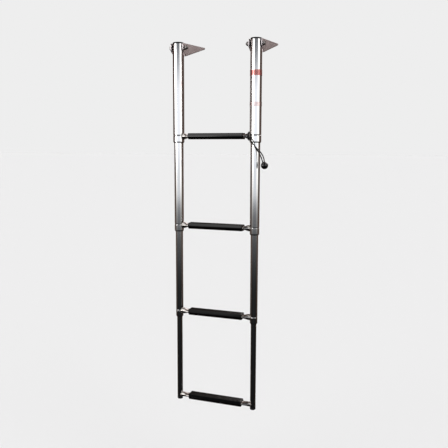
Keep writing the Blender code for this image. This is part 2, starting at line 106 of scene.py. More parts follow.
LEG_X = centre_of("right_tube_1", 0)
RADII = [size_of("right_tube_%d" % k, 0) / 2.0 for k in SECTIONS]
TUBE_TOPS = [high_of("right_tube_%d" % k) for k in SECTIONS]
TUBE_ENDS = [low_of("right_tube_%d" % k) for k in SECTIONS]
RUNG_HEIGHTS = [centre_of("rung_%d" % k, 2) for k in SECTIONS]
PIVOT_Z = centre_of("right_pivot_sleeve", 2)

# ---- sizes that only the looks need ----
GAP = 0.0003
WALLS = (0.0015, 0.0015, 0.0014, 0.0014)
TUBE_FACETS = 96
RING_FACETS = 72
COLLAR_FACETS = 64
SMALL_FACETS = 48
TUBE_LIP = 0.0004
END_STEPS = 6
SLEEVE_HOLE = 0.0063
GROOVE_ABOVE_RUNG = 0.0030
GROOVE_DEPTH = 0.0007
GROOVE_HALF_WIDTH = 0.0024
END_ROLL = 0.0011
END_ROLL_HEIGHT = 0.0028
FOOT_GROOVE_ABOVE_END = 0.0026
FOOT_GROOVE_DEPTH = 0.0010
FOOT_GROOVE_HALF_WIDTH = 0.0021
FOOT_ROUNDING = 0.0034
PLUG_WALL = 0.0014
SKIN = 0.0003
SKIN_CLEARANCE = 0.00004
CAP_ROUNDING = 0.0022
BUSH_TOP = 0.0285
BUSH_LIP = 0.0015
BUSH_TAPER = 0.0007
SLIDER_LENGTH = 0.0120
SLIDER_CAP = 0.0010
FLUTES = 12.0
FLUTE_DEPTH = 0.00025

RUNG_RADIUS = 0.0104
RUNG_TO_TUBE = 0.88
RUNG_WALL = 0.0013
RUNG_FLAT = (0.0138, 0.0060)
RUNG_ROUND_LENGTH = 0.0030
RUNG_RING = 48
RUNG_STATIONS = 14
WELD_RADIUS = 0.0011
WELD_FACETS = 160
WELD_SIDES = 8
WELD_RIPPLES = 34
WELD_RIPPLE = 0.12

TREAD_HALF_LENGTH = size_of("tread_1", 0) / 2.0
TREAD_HALF_DEPTH = 0.0185
TREAD_TOP_SLOPE = 0.0040
TREAD_LIP = 0.0015
TREAD_BOTTOM_SLOPE = 0.0060
TREAD_HALF_HEIGHT = size_of("tread_1", 2) / 2.0
TREAD_RIM = 0.0024
TREAD_RECESS = 0.0016
TREAD_EASE = 0.0009
TREAD_FLAT = 0.9
RIB_PITCH = 0.0021
RIB_HEIGHT = 0.00035

BRACKET_TILT = math.radians(15.7)
SHEET = 0.0025
CHANNEL_INSIDE = 0.0204
BASE_DROP = 0.0297
BASE_START = 0.0138
SCREW_HOLES = (0.050, 0.092, 0.134)
SCREW_RADIUS = 0.0033
SCREW_SINK_RADIUS = 0.0056
FOLD_RADIUS = 0.0035
BRACKET_SOFTENING = 0.00045
SOFTENED_ANGLE = math.radians(40.0)
EAR_OUTLINE = (
    (-0.0090, 0.0162, 0.0040), (-0.0150, -0.0070, 0.0090), (0.0063, -BASE_DROP, 0.0020),
    (0.1858, -BASE_DROP, 0.0015), (0.1858, -0.0236, 0.0035),
)

BOLT_RADIUS = 0.0040
HEX_RADIUS = 0.0075
SIXTH = math.radians(60.0)
CHAMFER_SLOPE = 0.58
BOLT_HEAD = 0.0050
BOLT_STAND_OUT = 0.0020
NUT_LENGTH = 0.0080
NUT_HEX = 0.0058
THREAD_PITCH = 0.00125
THREAD_DEPTH = 0.0006
THREAD_FACETS = 32
THREAD_CHAMFER = 0.0009
WASHER = 0.0012
NUT_COLLAR = (
    (0.0062, 0.0, 0.0), (0.0062, 0.0022, 0.0007), (0.0052, 0.0022, 0.0003),
    (0.0052, 0.0014, 0.0), (BOLT_RADIUS + 0.0003, 0.0010, 0.0), (BOLT_RADIUS + 0.0003, 0.0, 0.0),
)
NUT_INSERT = (
    (0.0051, 0.0010, 0.0), (0.0051, 0.0017, 0.0003), (BOLT_RADIUS + 0.0002, 0.0015, 0.0002),
    (BOLT_RADIUS + 0.0002, 0.0010, 0.0),
)
ABOUT_X = Matrix.Rotation(math.pi / 2.0, 4, "Y")

BAND_CLEARANCE = 0.00005
CORD_RADIUS = 0.0018
CORD_COLLAR = (
    (0.0020, -0.0012, 0.0), (0.0034, -0.0012, 0.0), (0.0030, 0.0004, 0.0004),
    (0.0020, 0.0004, 0.0002),
)
BRAID_CARRIERS = 6
BRAID_LAY = 0.0034
BRAID_RELIEF = 0.00016
BALL_RADIUS = 0.0120
BALL_AXIS = (-0.28, 0.0, 0.96)
BALL_STEPS = 40
SEAM_HEIGHT = 0.00012
SEAM_SPREAD = 0.035
BALL_CENTRE = (0.1760, -0.0260, -0.3585)
HITCH_X = 0.1148
HITCH_RING_RADIUS = 0.0131
STRAND_A = (
    (0.1158, -0.0161, -0.2688), (0.1198, -0.0183, -0.2690), (0.1245, -0.0210, -0.2720),
    (0.1297, -0.0237, -0.2795), (0.1351, -0.0253, -0.2885), (0.1430, -0.0260, -0.2995),
    (0.1510, -0.0260, -0.3098), (0.1586, -0.0260, -0.3205), (0.1645, -0.0260, -0.3322),
    (0.1681, -0.0260, -0.3420), (0.1699, -0.0260, -0.3478),
)
STRAND_B = (
    (0.1158, -0.0171, -0.2630), (0.1196, -0.0208, -0.2645), (0.1243, -0.0243, -0.2693),
    (0.1303, -0.0270, -0.2773), (0.1364, -0.0290, -0.2868), (0.1448, -0.0301, -0.2972),
    (0.1540, -0.0299, -0.3065), (0.1632, -0.0286, -0.3160), (0.1703, -0.0270, -0.3272),
    (0.1742, -0.0262, -0.3385), (0.1753, -0.0260, -0.3461),
)
STRAND_POINTS = 21
FINE_POINTS = 320
HITCH_POINTS = 240
BIGHT_POINTS = 110
BIGHT = (
    (0.1148, -0.0100, -0.2550), (0.1165, -0.0165, -0.2575), (0.1185, -0.0225, -0.2600),
    (0.1195, -0.0248, -0.2655), (0.1190, -0.0225, -0.2718), (0.1165, -0.0165, -0.2738),
    (0.1148, -0.0100, -0.2722),
)


# ---- node helpers ----
def feed(tree, socket, value):
    """Link a socket to another, or set it to a number, vector or colour."""
    if isinstance(value, bpy.types.NodeSocket):
        tree.links.new(value, socket)
    else:
        socket.default_value = (*value, 1.0) if socket.type == "RGBA" else value


def node(tree, kind, inputs=(), **settings):
    """A new node with its settings, its inputs fed by place or name."""
    made = tree.nodes.new(kind)
    for name, value in settings.items():
        setattr(made, name, value)
    for place, value in dict(inputs).items():
        feed(tree, made.inputs[place], value)
    return made


def math_node(tree, operation, *values):
    """The result of a Math node; its values are sockets or numbers."""
    return node(tree, "ShaderNodeMath", enumerate(values), operation=operation).outputs[0]


def map_range(tree, value, low, high, to_low=0.0, to_high=1.0, smooth=False):
    """A value carried from one range to another, clamped."""
    ends = {"Value": value, "From Min": low, "From Max": high, "To Min": to_low,
            "To Max": to_high}
    return node(tree, "ShaderNodeMapRange", ends,
                interpolation_type="SMOOTHSTEP" if smooth else "LINEAR").outputs["Result"]


def mixed(tree, factor, first, second, blend="MIX"):
    """Two colours mixed by a factor, or with blend ADD a share of the second added."""
    return node(tree, "ShaderNodeMix", {"Factor": factor, "A": first, "B": second},
                data_type="RGBA", blend_type=blend).outputs["Result"]


def ramp(tree, value, stops):
    """A colour ramp's colour; stops are (place, colour)."""
    made = node(tree, "ShaderNodeValToRGB", {0: value})
    elements = made.color_ramp.elements
    while len(elements) < len(stops):
        elements.new(1.0)
    for element, (place, colour) in zip(elements, stops):
        element.position = place
        element.color = (*colour, 1.0)
    return made.outputs[0]


def noise(tree, scale, detail=3.0, stretch=(1.0, 1.0, 1.0), turn=0.0):
    """Noise in the object's own coordinates, in cycles per metre, turned about X."""
    place = node(tree, "ShaderNodeTexCoord").outputs["Object"]
    mapping = node(tree, "ShaderNodeMapping",
                   {"Vector": place, "Scale": stretch, "Rotation": (turn, 0.0, 0.0)})
    return node(tree, "ShaderNodeTexNoise", {"Vector": mapping.outputs["Vector"],
                                             "Scale": scale, "Detail": detail}).outputs[0]


def dress(tree, shader, **sockets):
    """Link or set sockets of a shader; an underscore stands for a space."""
    for name, value in sockets.items():
        feed(tree, shader.inputs[name.replace("_", " ")], value)


def bump(tree, shader, height, distance):
    """A bump of that height in metres on a shader."""
    made = node(tree, "ShaderNodeBump",
                {"Strength": 1.0, "Distance": distance, "Height": height})
    dress(tree, shader, Normal=made.outputs[0])


def new_material(name, **sockets):
    """A node material, its tree and its Principled shader, with some sockets set."""
    material = bpy.data.materials.new(name)
    material.use_nodes = True
    tree = material.node_tree
    shader = tree.nodes["Principled BSDF"]
    dress(tree, shader, **sockets)
    return material, tree, shader


def surface(name, patches, tint, patch_rough=None, grain=None, grain_rough=None, height=0.0,
            **sockets):
    """A material tinted by patches of noise, roughened and raised by a grain.

    patches and grain are what noise takes, and the two roughnesses what map_range takes.
    """
    material, tree, shader = new_material(name, **sockets)
    broad = noise(tree, *patches)
    shares = [map_range(tree, broad, *patch_rough)] if patch_rough else []
    if grain:
        fine = noise(tree, *grain)
        shares.append(map_range(tree, fine, *grain_rough))
        bump(tree, shader, fine, height)
    rough = shares[0] if len(shares) == 1 else math_node(tree, "ADD", *shares)
    dress(tree, shader, Base_Color=ramp(tree, broad, tint), Roughness=rough)
    return material


# ---- materials ----
PLASTIC_SPECULAR = 0.32
SCUFFED = (0.004, 0.004, 0.004)
BAND_BARE = (0.86, 0.82, 0.80)
BAND_RED = (0.62, 0.07, 0.045)
BAR_PITCH = 0.0030


def polished_steel():
    """Mirror-polished tube: drawn lines along it, faint smears and a few fine marks."""
    return surface("polished steel", Metallic=1.0, patches=(14.0, 4.0, (1.0, 1.0, 0.35)),
                   tint=((0.35, (0.83, 0.82, 0.81)), (0.65, (0.88, 0.87, 0.86))),
                   patch_rough=(0.35, 0.75, 0.03, 0.075), grain=(900.0, 2.0, (1.0, 1.0, 0.012)),
                   grain_rough=(0.45, 0.75, 0.0, 0.05), height=0.000002)


def satin_steel():
    """Brushed bracket plate, its lines along the base."""
    return surface("satin steel", Metallic=0.85, patches=(60.0, 4.0),
                   tint=((0.3, (0.80, 0.72, 0.725)), (0.7, (0.86, 0.785, 0.79))),
                   patch_rough=(0.3, 0.7, 0.0, 0.05),
                   grain=(1400.0, 3.0, (1.0, 0.02, 1.0), -BRACKET_TILT),
                   grain_rough=(0.3, 0.7, 0.30, 0.40), height=0.00002)


def fastener_steel():
    """Forged and turned stainless fasteners."""
    return surface("fastener steel", Metallic=1.0, patches=(220.0, 3.0),
                   tint=((0.35, (0.27, 0.25, 0.24)), (0.7, (0.38, 0.36, 0.35))),
                   grain=(1500.0, 4.0), grain_rough=(0.3, 0.7, 0.32, 0.46), height=0.00001)


def rung_steel():
    """Brushed rung tube: fine lines across the ladder and light rubbing."""
    return surface("rung steel", Metallic=1.0, patches=(80.0, 4.0),
                   tint=((0.3, (0.50, 0.47, 0.45)), (0.7, (0.60, 0.57, 0.55))),
                   patch_rough=(0.3, 0.7, 0.0, 0.05), grain=(1100.0, 3.0, (0.03, 1.0, 1.0)),
                   grain_rough=(0.3, 0.7, 0.13, 0.20), height=0.00001)


def weld_steel():
    """Polished weld bead with a slight heat tint."""
    return surface("weld steel", Metallic=1.0, patches=(500.0, 3.0),
                   tint=((0.35, (0.42, 0.36, 0.31)), (0.65, (0.58, 0.54, 0.50))),
                   patch_rough=(0.3, 0.7, 0.12, 0.28))


def moulded_plastic(name, dark, light, rough, grain_size, grain_height):
    """Black moulded plastic: fine grain, scuffed where its edges stand out."""
    material, tree, shader = new_material(name, Specular_IOR_Level=PLASTIC_SPECULAR)
    patches = noise(tree, 45.0, 4.0)
    edge = node(tree, "ShaderNodeNewGeometry").outputs["Pointiness"]
    worn = math_node(tree, "MULTIPLY", map_range(tree, edge, 0.52, 0.62),
                     map_range(tree, patches, 0.40, 0.60, 0.2, 1.0))
    base = ramp(tree, patches, ((0.3, dark), (0.7, light)))
    dress(tree, shader, Base_Color=mixed(tree, worn, base, SCUFFED),
          Roughness=map_range(tree, patches, 0.3, 0.7, *rough))
    bump(tree, shader, noise(tree, 1.0 / grain_size), grain_height)
    return material


def washer_nylon():
    """Black nylon, cut from sheet."""
    return surface("washer nylon", patches=(300.0, 3.0),
                   tint=((0.3, (0.007, 0.006, 0.006)), (0.7, (0.014, 0.013, 0.013))),
                   patch_rough=(0.3, 0.7, 0.38, 0.52))


def band_film(name, pale, full):
    """Clear film over the steel, washed with red and with plain slanted bars of a deeper red."""
    material, tree, shader = new_material(name)
    place = node(tree, "ShaderNodeTexCoord").outputs["UV"]
    axes = node(tree, "ShaderNodeSeparateXYZ", {0: place}).outputs
    slant = math_node(tree, "ADD", axes["X"], axes["Y"])
    saw = math_node(tree, "FRACT", math_node(tree, "DIVIDE", slant, BAR_PITCH))
    bars = math_node(tree, "LESS_THAN", saw, 0.5)
    wear = map_range(tree, noise(tree, 700.0), 0.3, 0.6, 0.85, 1.0)
    ink = math_node(tree, "MULTIPLY", map_range(tree, bars, 0.0, 1.0, pale, full), wear)
    dress(tree, shader, Base_Color=mixed(tree, ink, BAND_BARE, BAND_RED),
          Metallic=map_range(tree, ink, 0.0, 1.0, 1.0, 0.55),
          Roughness=map_range(tree, ink, 0.0, 1.0, 0.10, 0.24))
    return material


def cord_black():
    """Braided cord cover, its colour painted lighter on top of each carrier (painted highlight)
    and darker in the grooves between them (painted shade).
    """
    material, tree, shader = new_material("braided cord", Sheen_Weight=0.15,
                                          Sheen_Roughness=0.4, Specular_IOR_Level=0.35)
    relief = node(tree, "ShaderNodeAttribute", attribute_name="relief").outputs["Fac"]
    fibre = noise(tree, 5200.0)
    # painted highlight and painted shade: the colour follows the braid's relief, lighter on the
    # crests and darker in the grooves, with a fine fibre variation
    lit = math_node(tree, "MULTIPLY", relief, map_range(tree, fibre, 0.3, 0.7, 0.7, 1.0))
    tint = ramp(tree, lit, ((0.1, (0.004, 0.004, 0.004)), (0.9, (0.024, 0.023, 0.025))))
    dress(tree, shader, Base_Color=tint,
          Roughness=map_range(tree, fibre, 0.3, 0.7, 0.50, 0.75))
    bump(tree, shader, fibre, 0.00003)
    return material


def ball_plastic():
    """Glossy black moulded ball with light handling marks."""
    return surface("ball plastic", Coat_Weight=0.9, Coat_Roughness=0.04, patches=(260.0, 5.0),
                   tint=((0.3, (0.002, 0.002, 0.002)), (0.75, (0.004, 0.004, 0.005))),
                   patch_rough=(0.4, 0.75, 0.05, 0.14))


# ---- mesh helpers ----
MERGE_DISTANCE = 1e-7


def to_mesh(name, bm, outward=True):
    """A mesh made from a bmesh, its faces turned outward."""
    if outward:
        bm.normal_update()
        bmesh.ops.recalc_face_normals(bm, faces=bm.faces)
    mesh = bpy.data.meshes.new(name)
    bm.to_mesh(mesh)
    bm.free()
    return mesh


def in_scene(name, data):
    """A new object in the scene."""
    thing = bpy.data.objects.new(name, data)
    bpy.context.scene.collection.objects.link(thing)
    return thing


def add_piece(name, mesh, material, body, slot, replaces=(), sharp=40.0, matrix=None):
    """An object for a piece, from a mesh or bmesh, riding on a CAD body."""
    if isinstance(mesh, bmesh.types.BMesh):
        mesh = to_mesh(name, mesh)
    mesh.materials.clear()
    mesh.materials.append(material)
    mesh.shade_smooth()
    mesh.set_sharp_from_angle(angle=math.radians(sharp))
    thing = in_scene(name, mesh)
    if matrix is not None:
        mesh.transform(matrix.to_3x3().to_4x4())
        thing.location = matrix.translation
    weighted = thing.modifiers.new("normals by face area", "WEIGHTED_NORMAL")
    weighted.keep_sharp = True
    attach(thing, body)
    if replaces:
        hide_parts(*replaces)
    return thing


def turns(count):
    """Angles evenly spaced round a circle."""
    return [2.0 * math.pi * k / count for k in range(count)]


def skin(bm, rings, closed=False, capped=False):
    """Faces between neighbouring rings of vertices; closed joins the last to the first."""
    count = len(rings[0])
    for first, second in zip(rings, rings[1:] + rings[:1] if closed else rings[1:]):
        for k in range(count):
            n = (k + 1) % count
            bm.faces.new((first[k], first[n], second[n], second[k]))
    if capped:
        bm.faces.new(list(reversed(rings[0])))
        bm.faces.new(rings[-1])


def rounded(corners, steps=4):
    """Points of a closed outline whose corners (x, y, radius) are rounded by arcs."""
    points = []
    count = len(corners)
    for i, (x, y, radius) in enumerate(corners):
        here = Vector((x, y))
        if radius <= 0.0:
            points.append(here)
            continue
        before = (Vector(corners[i - 1][:2]) - here).normalized()
        after = (Vector(corners[(i + 1) % count][:2]) - here).normalized()
        half = before.angle(after) / 2.0
        centre = here + (before + after).normalized() * (radius / math.sin(half))
        start = here + before * (radius / math.tan(half)) - centre
        end = here + after * (radius / math.tan(half)) - centre
        turn = start.angle_signed(end)
        for k in range(steps + 1):
            points.append(centre + Matrix.Rotation(-turn * k / steps, 2) @ start)
    return points


def lathe(profile, facets, shape=None):
    """A closed (radius, height) profile turned about Z; shape(angle, r, h) bends a point."""
    bm = bmesh.new()
    rings = []
    for angle in turns(facets):
        ring = []
        for radius, height in profile:
            r, h = shape(angle, radius, height) if shape else (radius, height)
            ring.append(bm.verts.new((r * math.cos(angle), r * math.sin(angle), h)))
        rings.append(ring)
    count = len(profile)
    for here, there in zip(rings, rings[1:] + rings[:1]):
        for i in range(count):
            n = (i + 1) % count
            if profile[i][0] > MERGE_DISTANCE or profile[n][0] > MERGE_DISTANCE:
                bm.faces.new((here[i], there[i], there[n], here[n]))
    bmesh.ops.remove_doubles(bm, verts=bm.verts, dist=MERGE_DISTANCE)
    return bm


def upright(x, y=0.0, z=0.0):
    """A place for a piece that isn't turned."""
    return Matrix.Translation((x, y, z))


def prism(outline, low, high):
    """An outline in its own X and Y, closed and straight along Z from low to high."""
    bm = bmesh.new()
    ends = [[bm.verts.new((x, y, z)) for x, y in outline] for z in (low, high)]
    skin(bm, ends, capped=True)
    return bm


def tool_object(name, bm, turn=None):
    """A helper object for a Boolean, removed after use."""
    if turn is not None:
        bm.transform(turn)
    return in_scene(name, to_mesh(name, bm))


def cone_tool(name, radius, depth, turn, point=False, segments=40):
    """A helper object for a hole about Z, or for a countersink that opens upward."""
    bm = bmesh.new()
    bmesh.ops.create_cone(bm, cap_ends=True, segments=segments, depth=depth,
                          radius1=0.0 if point else radius, radius2=radius)
    return tool_object(name, bm, turn)


def with_booleans(start, steps, bevel=None):
    """Mesh left of a helper object after Booleans with other helpers, which are removed."""
    for operation, tool in steps:
        modifier = start.modifiers.new("step", "BOOLEAN")
        modifier.operation = operation
        modifier.object = tool
        modifier.solver = "EXACT"
    if bevel:
        modifier = start.modifiers.new("soft edges", "BEVEL")
        modifier.width = bevel
        modifier.segments = 2
        modifier.limit_method = "ANGLE"
        modifier.angle_limit = SOFTENED_ANGLE
    bpy.context.view_layer.update()
    graph = bpy.context.evaluated_depsgraph_get()
    mesh = bpy.data.meshes.new_from_object(start.evaluated_get(graph))
    for thing in [start] + [tool for operation, tool in steps]:
        bpy.data.objects.remove(thing, do_unlink=True)
    return mesh


def catmull_rom(route, count):
    """Points read from a Catmull-Rom curve through the route's own points."""
    points = [Vector(place) for place in route]
    padded = [2.0 * points[0] - points[1]] + points + [2.0 * points[-1] - points[-2]]
    spans = len(points) - 1
    result = []
    for k in range(count):
        place = spans * k / (count - 1)
        i = min(int(place), spans - 1)
        t = place - i
        a, b, c, d = padded[i:i + 4]
        result.append(0.5 * (2.0 * b + (c - a) * t + (2.0 * a - 5.0 * b + 4.0 * c - d) * t * t
                             + (3.0 * b - a - 3.0 * c + d) * t * t * t))
    return result


# ---- camera and studio ----
CAMERA_PLACE = (0.7082, -1.8845, -0.3084)
CAMERA_YAW = math.radians(19.83)
CAMERA_PITCH = math.radians(7.11)
CAMERA_ROLL = math.radians(0.21)
CAMERA_LENS = 47.84
CAMERA_SENSOR = 36.0
BACKDROP = 0.855
FLOOR_CLEARANCE = 0.30


def make_camera():
    """The camera at the photograph's viewing angle."""
    data = bpy.data.cameras.new("camera")
    data.lens = CAMERA_LENS
    data.sensor_width = CAMERA_SENSOR
    camera = in_scene("camera", data)
    camera.matrix_world = (Matrix.Translation(CAMERA_PLACE)
                           @ Matrix.Rotation(CAMERA_YAW, 4, "Z")
                           @ Matrix.Rotation(math.pi / 2.0 - CAMERA_PITCH, 4, "X")
                           @ Matrix.Rotation(CAMERA_ROLL, 4, "Z"))
    bpy.context.scene.camera = camera


def band_mask(tree, value, low, high, soft):
    """1 between low and high, with edges that fade over soft."""
    half = soft / 2.0
    rise = map_range(tree, value, low - half, low + half, 0.0, 1.0, True)
    fall = map_range(tree, value, high - half, high + half, 1.0, 0.0, True)
    return math_node(tree, "MULTIPLY", rise, fall)


STUDIO_PEAK = 2.4
SIDE_TINT = (1.0, 0.995, 0.985)
FLAG_TINT = (1.22, 0.88, 0.76)
GAP_TINT = (0.94, 0.98, 1.05)
ELEVATIONS = (-30.0, 90.0)
# (elevation in degrees, radiance) of the soft boxes at the sides, of the dark flags beyond
# them and of the gap between them
SIDE_LIGHT = (
    (-24.0, 0.006), (-16.0, 0.009), (-13.0, 0.016), (-11.0, 0.04), (-8.7, 0.09),
    (-6.5, 0.28), (-5.4, 0.50), (-4.2, 0.95), (-3.0, 1.3), (11.0, 1.5), (14.0, 0.35),
    (18.0, 0.06), (25.0, 0.12), (33.0, 1.0), (40.0, 2.4), (52.0, 2.4), (58.0, 0.3), (66.0, 0.03),
)
FLAG_LIGHT = ((-18.0, 0.020), (-9.0, 0.085), (80.0, 0.085))
GAP_LIGHT = (
    (-24.0, 0.008), (-14.0, 0.018), (-11.0, 0.04), (-8.7, 0.09), (-6.5, 0.17),
    (-5.4, 0.33), (-4.2, 0.78), (-2.0, 0.86), (1.0, 1.1), (5.6, 1.1), (6.8, 0.80),
    (8.3, 0.42), (9.8, 0.20), (14.0, 0.10), (30.0, 0.06), (60.0, 0.06),
)
# (low, high, softness) in degrees of the azimuth, from straight in front or straight behind
GAP_SPAN = (-20.6, 50.0, 3.0)
FLAG_SPAN = (-57.0, 92.0, 6.0)
STRIP_SPAN = (8.0, 30.0, 6.0)
STRIP_FADE = (-4.0, 4.0)
# spans of azimuth and elevation and the radiance, as a share of STUDIO_PEAK, that is added
CORE_LIGHT = ((-56.0, -20.6, 2.0), (-0.5, 9.0, 4.0), (2.0, 2.0, 2.0))
BACK_LIGHT = ((-60.0, 20.0, 12.0), (16.0, 60.0, 6.0), (0.70, 0.66, 0.66))
STRIP_LIGHT = (0.10, 0.10, 0.10)
FLOOR_SIZE = 150.0
FLOOR_COLOUR = (0.769, 0.789, 0.796)
LAMP_ENERGY = 1.745
LAMP_ANGLE = math.radians(70.0)


def studio_ramp(tree, elevation, stops, tint):
    """The light of one part of the studio over the elevation."""
    low, high = ELEVATIONS
    listed = [((angle - low) / (high - low), tuple(light * c / STUDIO_PEAK for c in tint))
              for angle, light in stops]
    return ramp(tree, map_range(tree, elevation, low, high), listed)


def degrees(tree, operation, *values):
    """The angle from an inverse trigonometric Math node, in degrees."""
    return math_node(tree, "DEGREES", math_node(tree, operation, *values))


def make_world():
    """Soft boxes in front, dark flags at the sides and a dim back; plain pale for the eye."""
    world = bpy.data.worlds.new("studio")
    bpy.context.scene.world = world
    world.use_nodes = True
    tree = world.node_tree
    tree.nodes.clear()
    place = node(tree, "ShaderNodeTexCoord").outputs["Generated"]
    x, y, z = node(tree, "ShaderNodeSeparateXYZ", {0: place}).outputs
    front = degrees(tree, "ARCTAN2", x, math_node(tree, "MULTIPLY", y, -1.0))
    rear = degrees(tree, "ARCTAN2", math_node(tree, "MULTIPLY", x, -1.0), y)
    elevation = degrees(tree, "ARCSINE", z)
    side = studio_ramp(tree, elevation, SIDE_LIGHT, SIDE_TINT)
    gap = studio_ramp(tree, elevation, GAP_LIGHT, GAP_TINT)
    flag = studio_ramp(tree, elevation, FLAG_LIGHT, FLAG_TINT)
    colour = mixed(tree, band_mask(tree, front, *GAP_SPAN), side, gap)
    colour = mixed(tree, band_mask(tree, front, *FLAG_SPAN), flag, colour)
    for azimuth, (across, over, light) in ((front, CORE_LIGHT), (rear, BACK_LIGHT)):
        share = math_node(tree, "MULTIPLY", band_mask(tree, azimuth, *across),
                          band_mask(tree, elevation, *over))
        colour = mixed(tree, share, colour, light, "ADD")
    strip = math_node(tree, "MULTIPLY", band_mask(tree, rear, *STRIP_SPAN),
                      map_range(tree, elevation, *STRIP_FADE, 1.0, 0.0, True))
    colour = mixed(tree, strip, colour, STRIP_LIGHT, "ADD")
    light = node(tree, "ShaderNodeBackground", {"Color": colour, "Strength": STUDIO_PEAK})
    plain = node(tree, "ShaderNodeBackground", {"Color": (BACKDROP,) * 3, "Strength": 1.0})
    seen = node(tree, "ShaderNodeLightPath").outputs["Is Camera Ray"]
    both = node(tree, "ShaderNodeMixShader",
                {0: seen, 1: light.outputs[0], 2: plain.outputs[0]})
    node(tree, "ShaderNodeOutputWorld", {0: both.outputs[0]})


def make_floor():
    """A plain pale floor some way below the feet, lit from overhead, with no visible edge."""
    bm = bmesh.new()
    bmesh.ops.create_grid(bm, x_segments=1, y_segments=1, size=FLOOR_SIZE)
    floor = in_scene("floor", to_mesh("floor", bm, False))
    floor.data.materials.append(new_material("pale floor", Roughness=1.0, Specular_IOR_Level=0.0,
                                             Base_Color=FLOOR_COLOUR)[0])
    floor.location = (0.0, 0.0, cad_box[0][2] - FLOOR_CLEARANCE)
    floor.visible_glossy = False
    floor.visible_diffuse = False
    lamp = bpy.data.lights.new("overhead", "SUN")
    lamp.energy = LAMP_ENERGY
    lamp.angle = LAMP_ANGLE
    lamp.use_shadow = False
    in_scene("overhead", lamp).visible_glossy = False


# ---- tubes and their plastic ----
def groove_wave(steps=8):
    """(height, depth) shares of a rolled groove from top to bottom."""
    return [(1.0 - 2.0 * k / steps, 0.5 - 0.5 * math.cos(2.0 * math.pi * k / steps))
            for k in range(steps + 1)]


def groove_points(surface, groove, deep, wide, way):
    """Points of a rolled groove in a surface, from one side of it to the other."""
    return [(surface - depth * deep, groove + way * share * wide)
            for share, depth in groove_wave()]


def tube_profile(section):
    """Closed (radius, height) profile of a leg tube."""
    outer = RADII[section - 1]
    bore = outer - WALLS[section - 1]
    top = TUBE_TOPS[section - 1]
    end = TUBE_ENDS[section - 1]
    if section < SECTIONS[-1]:
        groove = RUNG_HEIGHTS[section - 1] + GROOVE_ABOVE_RUNG
        deep, wide, roll, tall = GROOVE_DEPTH, GROOVE_HALF_WIDTH, END_ROLL, END_ROLL_HEIGHT
    else:
        groove = end + FOOT_GROOVE_ABOVE_END
        deep, wide, roll, tall = FOOT_GROOVE_DEPTH, FOOT_GROOVE_HALF_WIDTH, TUBE_LIP, TUBE_LIP
    profile = [(outer - TUBE_LIP, top), (outer - 0.3 * TUBE_LIP, top - 0.3 * TUBE_LIP),
               (outer, top - TUBE_LIP)]
    profile += groove_points(outer, groove, deep, wide, 1.0)
    for k in range(END_STEPS + 1):
        angle = math.radians(90.0) * k / END_STEPS
        profile.append((outer - roll * (1.0 - math.cos(angle)),
                        end + tall * (1.0 - math.sin(angle))))
    profile.append((bore, end))
    profile += groove_points(bore, groove, deep, wide, -1.0)
    profile.append((bore, top))
    return profile


def add_pair(label, profile, material, body, sharp=40.0, shape=None):
    """The same turned plastic piece on both legs, each standing for its CAD node."""
    for side, sign in SIDES:
        name = side + "_" + label
        add_piece(name + "_piece", lathe(profile, TUBE_FACETS, shape), material, body,
                  "bush_plastic", [name], sharp, upright(sign * LEG_X))


def make_tubes(material):
    """The eight leg tubes; the upper ones have the sleeve's holes."""
    for section in SECTIONS:
        for side, sign in SIDES:
            name = "%s_tube_%d" % (side, section)
            tube = lathe(tube_profile(section), TUBE_FACETS)
            if section == 1:
                turn = upright(0.0, 0.0, PIVOT_Z) @ ABOUT_X
                drill = cone_tool("drill", SLEEVE_HOLE, 0.060, turn, segments=SMALL_FACETS)
                tube = with_booleans(tool_object("blank", tube), [("DIFFERENCE", drill)])
            add_piece(name + "_piece", tube, material, "section_%d" % section,
                      "polished_steel", [name], 50.0, upright(sign * LEG_X))


def make_bushes(material):
    """Lower bushes with their tapered lips, and upper sliders."""
    for section in SECTIONS[:3]:
        outer = RADII[section - 1] - WALLS[section - 1] - GAP
        bore = RADII[section] + GAP
        end = TUBE_ENDS[section - 1]
        groove = RUNG_HEIGHTS[section - 1] + GROOVE_ABOVE_RUNG
        wide = 1.5 * GROOVE_HALF_WIDTH
        lip = RADII[section - 1] - END_ROLL
        corners = [(outer, end + BUSH_TOP, 0.0005), (outer, groove + wide, 0.0)]
        corners += [(outer - depth * GROOVE_DEPTH, groove + share * wide, 0.0)
                    for share, depth in groove_wave()[1:-1]]
        corners += [(outer, groove - wide, 0.0), (outer, end - GAP, 0.0),
                    (lip, end - GAP, 0.0003), (lip - BUSH_TAPER, end - BUSH_LIP, 0.0003),
                    (bore, end - BUSH_LIP, 0.0002), (bore, end + BUSH_TOP, 0.0002)]
        add_pair("lower_bush_%d" % section, rounded(corners, 3), material,
                 "section_%d" % section, 50.0)
    for section in SECTIONS[1:]:
        outer = RADII[section - 2] - WALLS[section - 2] - GAP
        grip = RADII[section - 1] + GAP
        bore = RADII[section - 1] - WALLS[section - 1]
        top = TUBE_TOPS[section - 1]
        low = top + SLIDER_CAP - SLIDER_LENGTH
        corners = [(outer, top + SLIDER_CAP, 0.0005), (outer, low, 0.0005), (grip, low, 0.0002),
                   (grip, top + GAP, 0.0), (bore, top + GAP, 0.0),
                   (bore, top + SLIDER_CAP, 0.0002)]

        def fluted(angle, radius, height):
            """The slider's outside has shallow lengthwise flutes."""
            if radius > grip + 0.0003:
                radius -= FLUTE_DEPTH * (0.5 + 0.5 * math.cos(FLUTES * angle)) ** 6
            return radius, height

        add_pair("slider_%d" % section, rounded(corners, 3), material,
                 "section_%d" % section, shape=fluted)


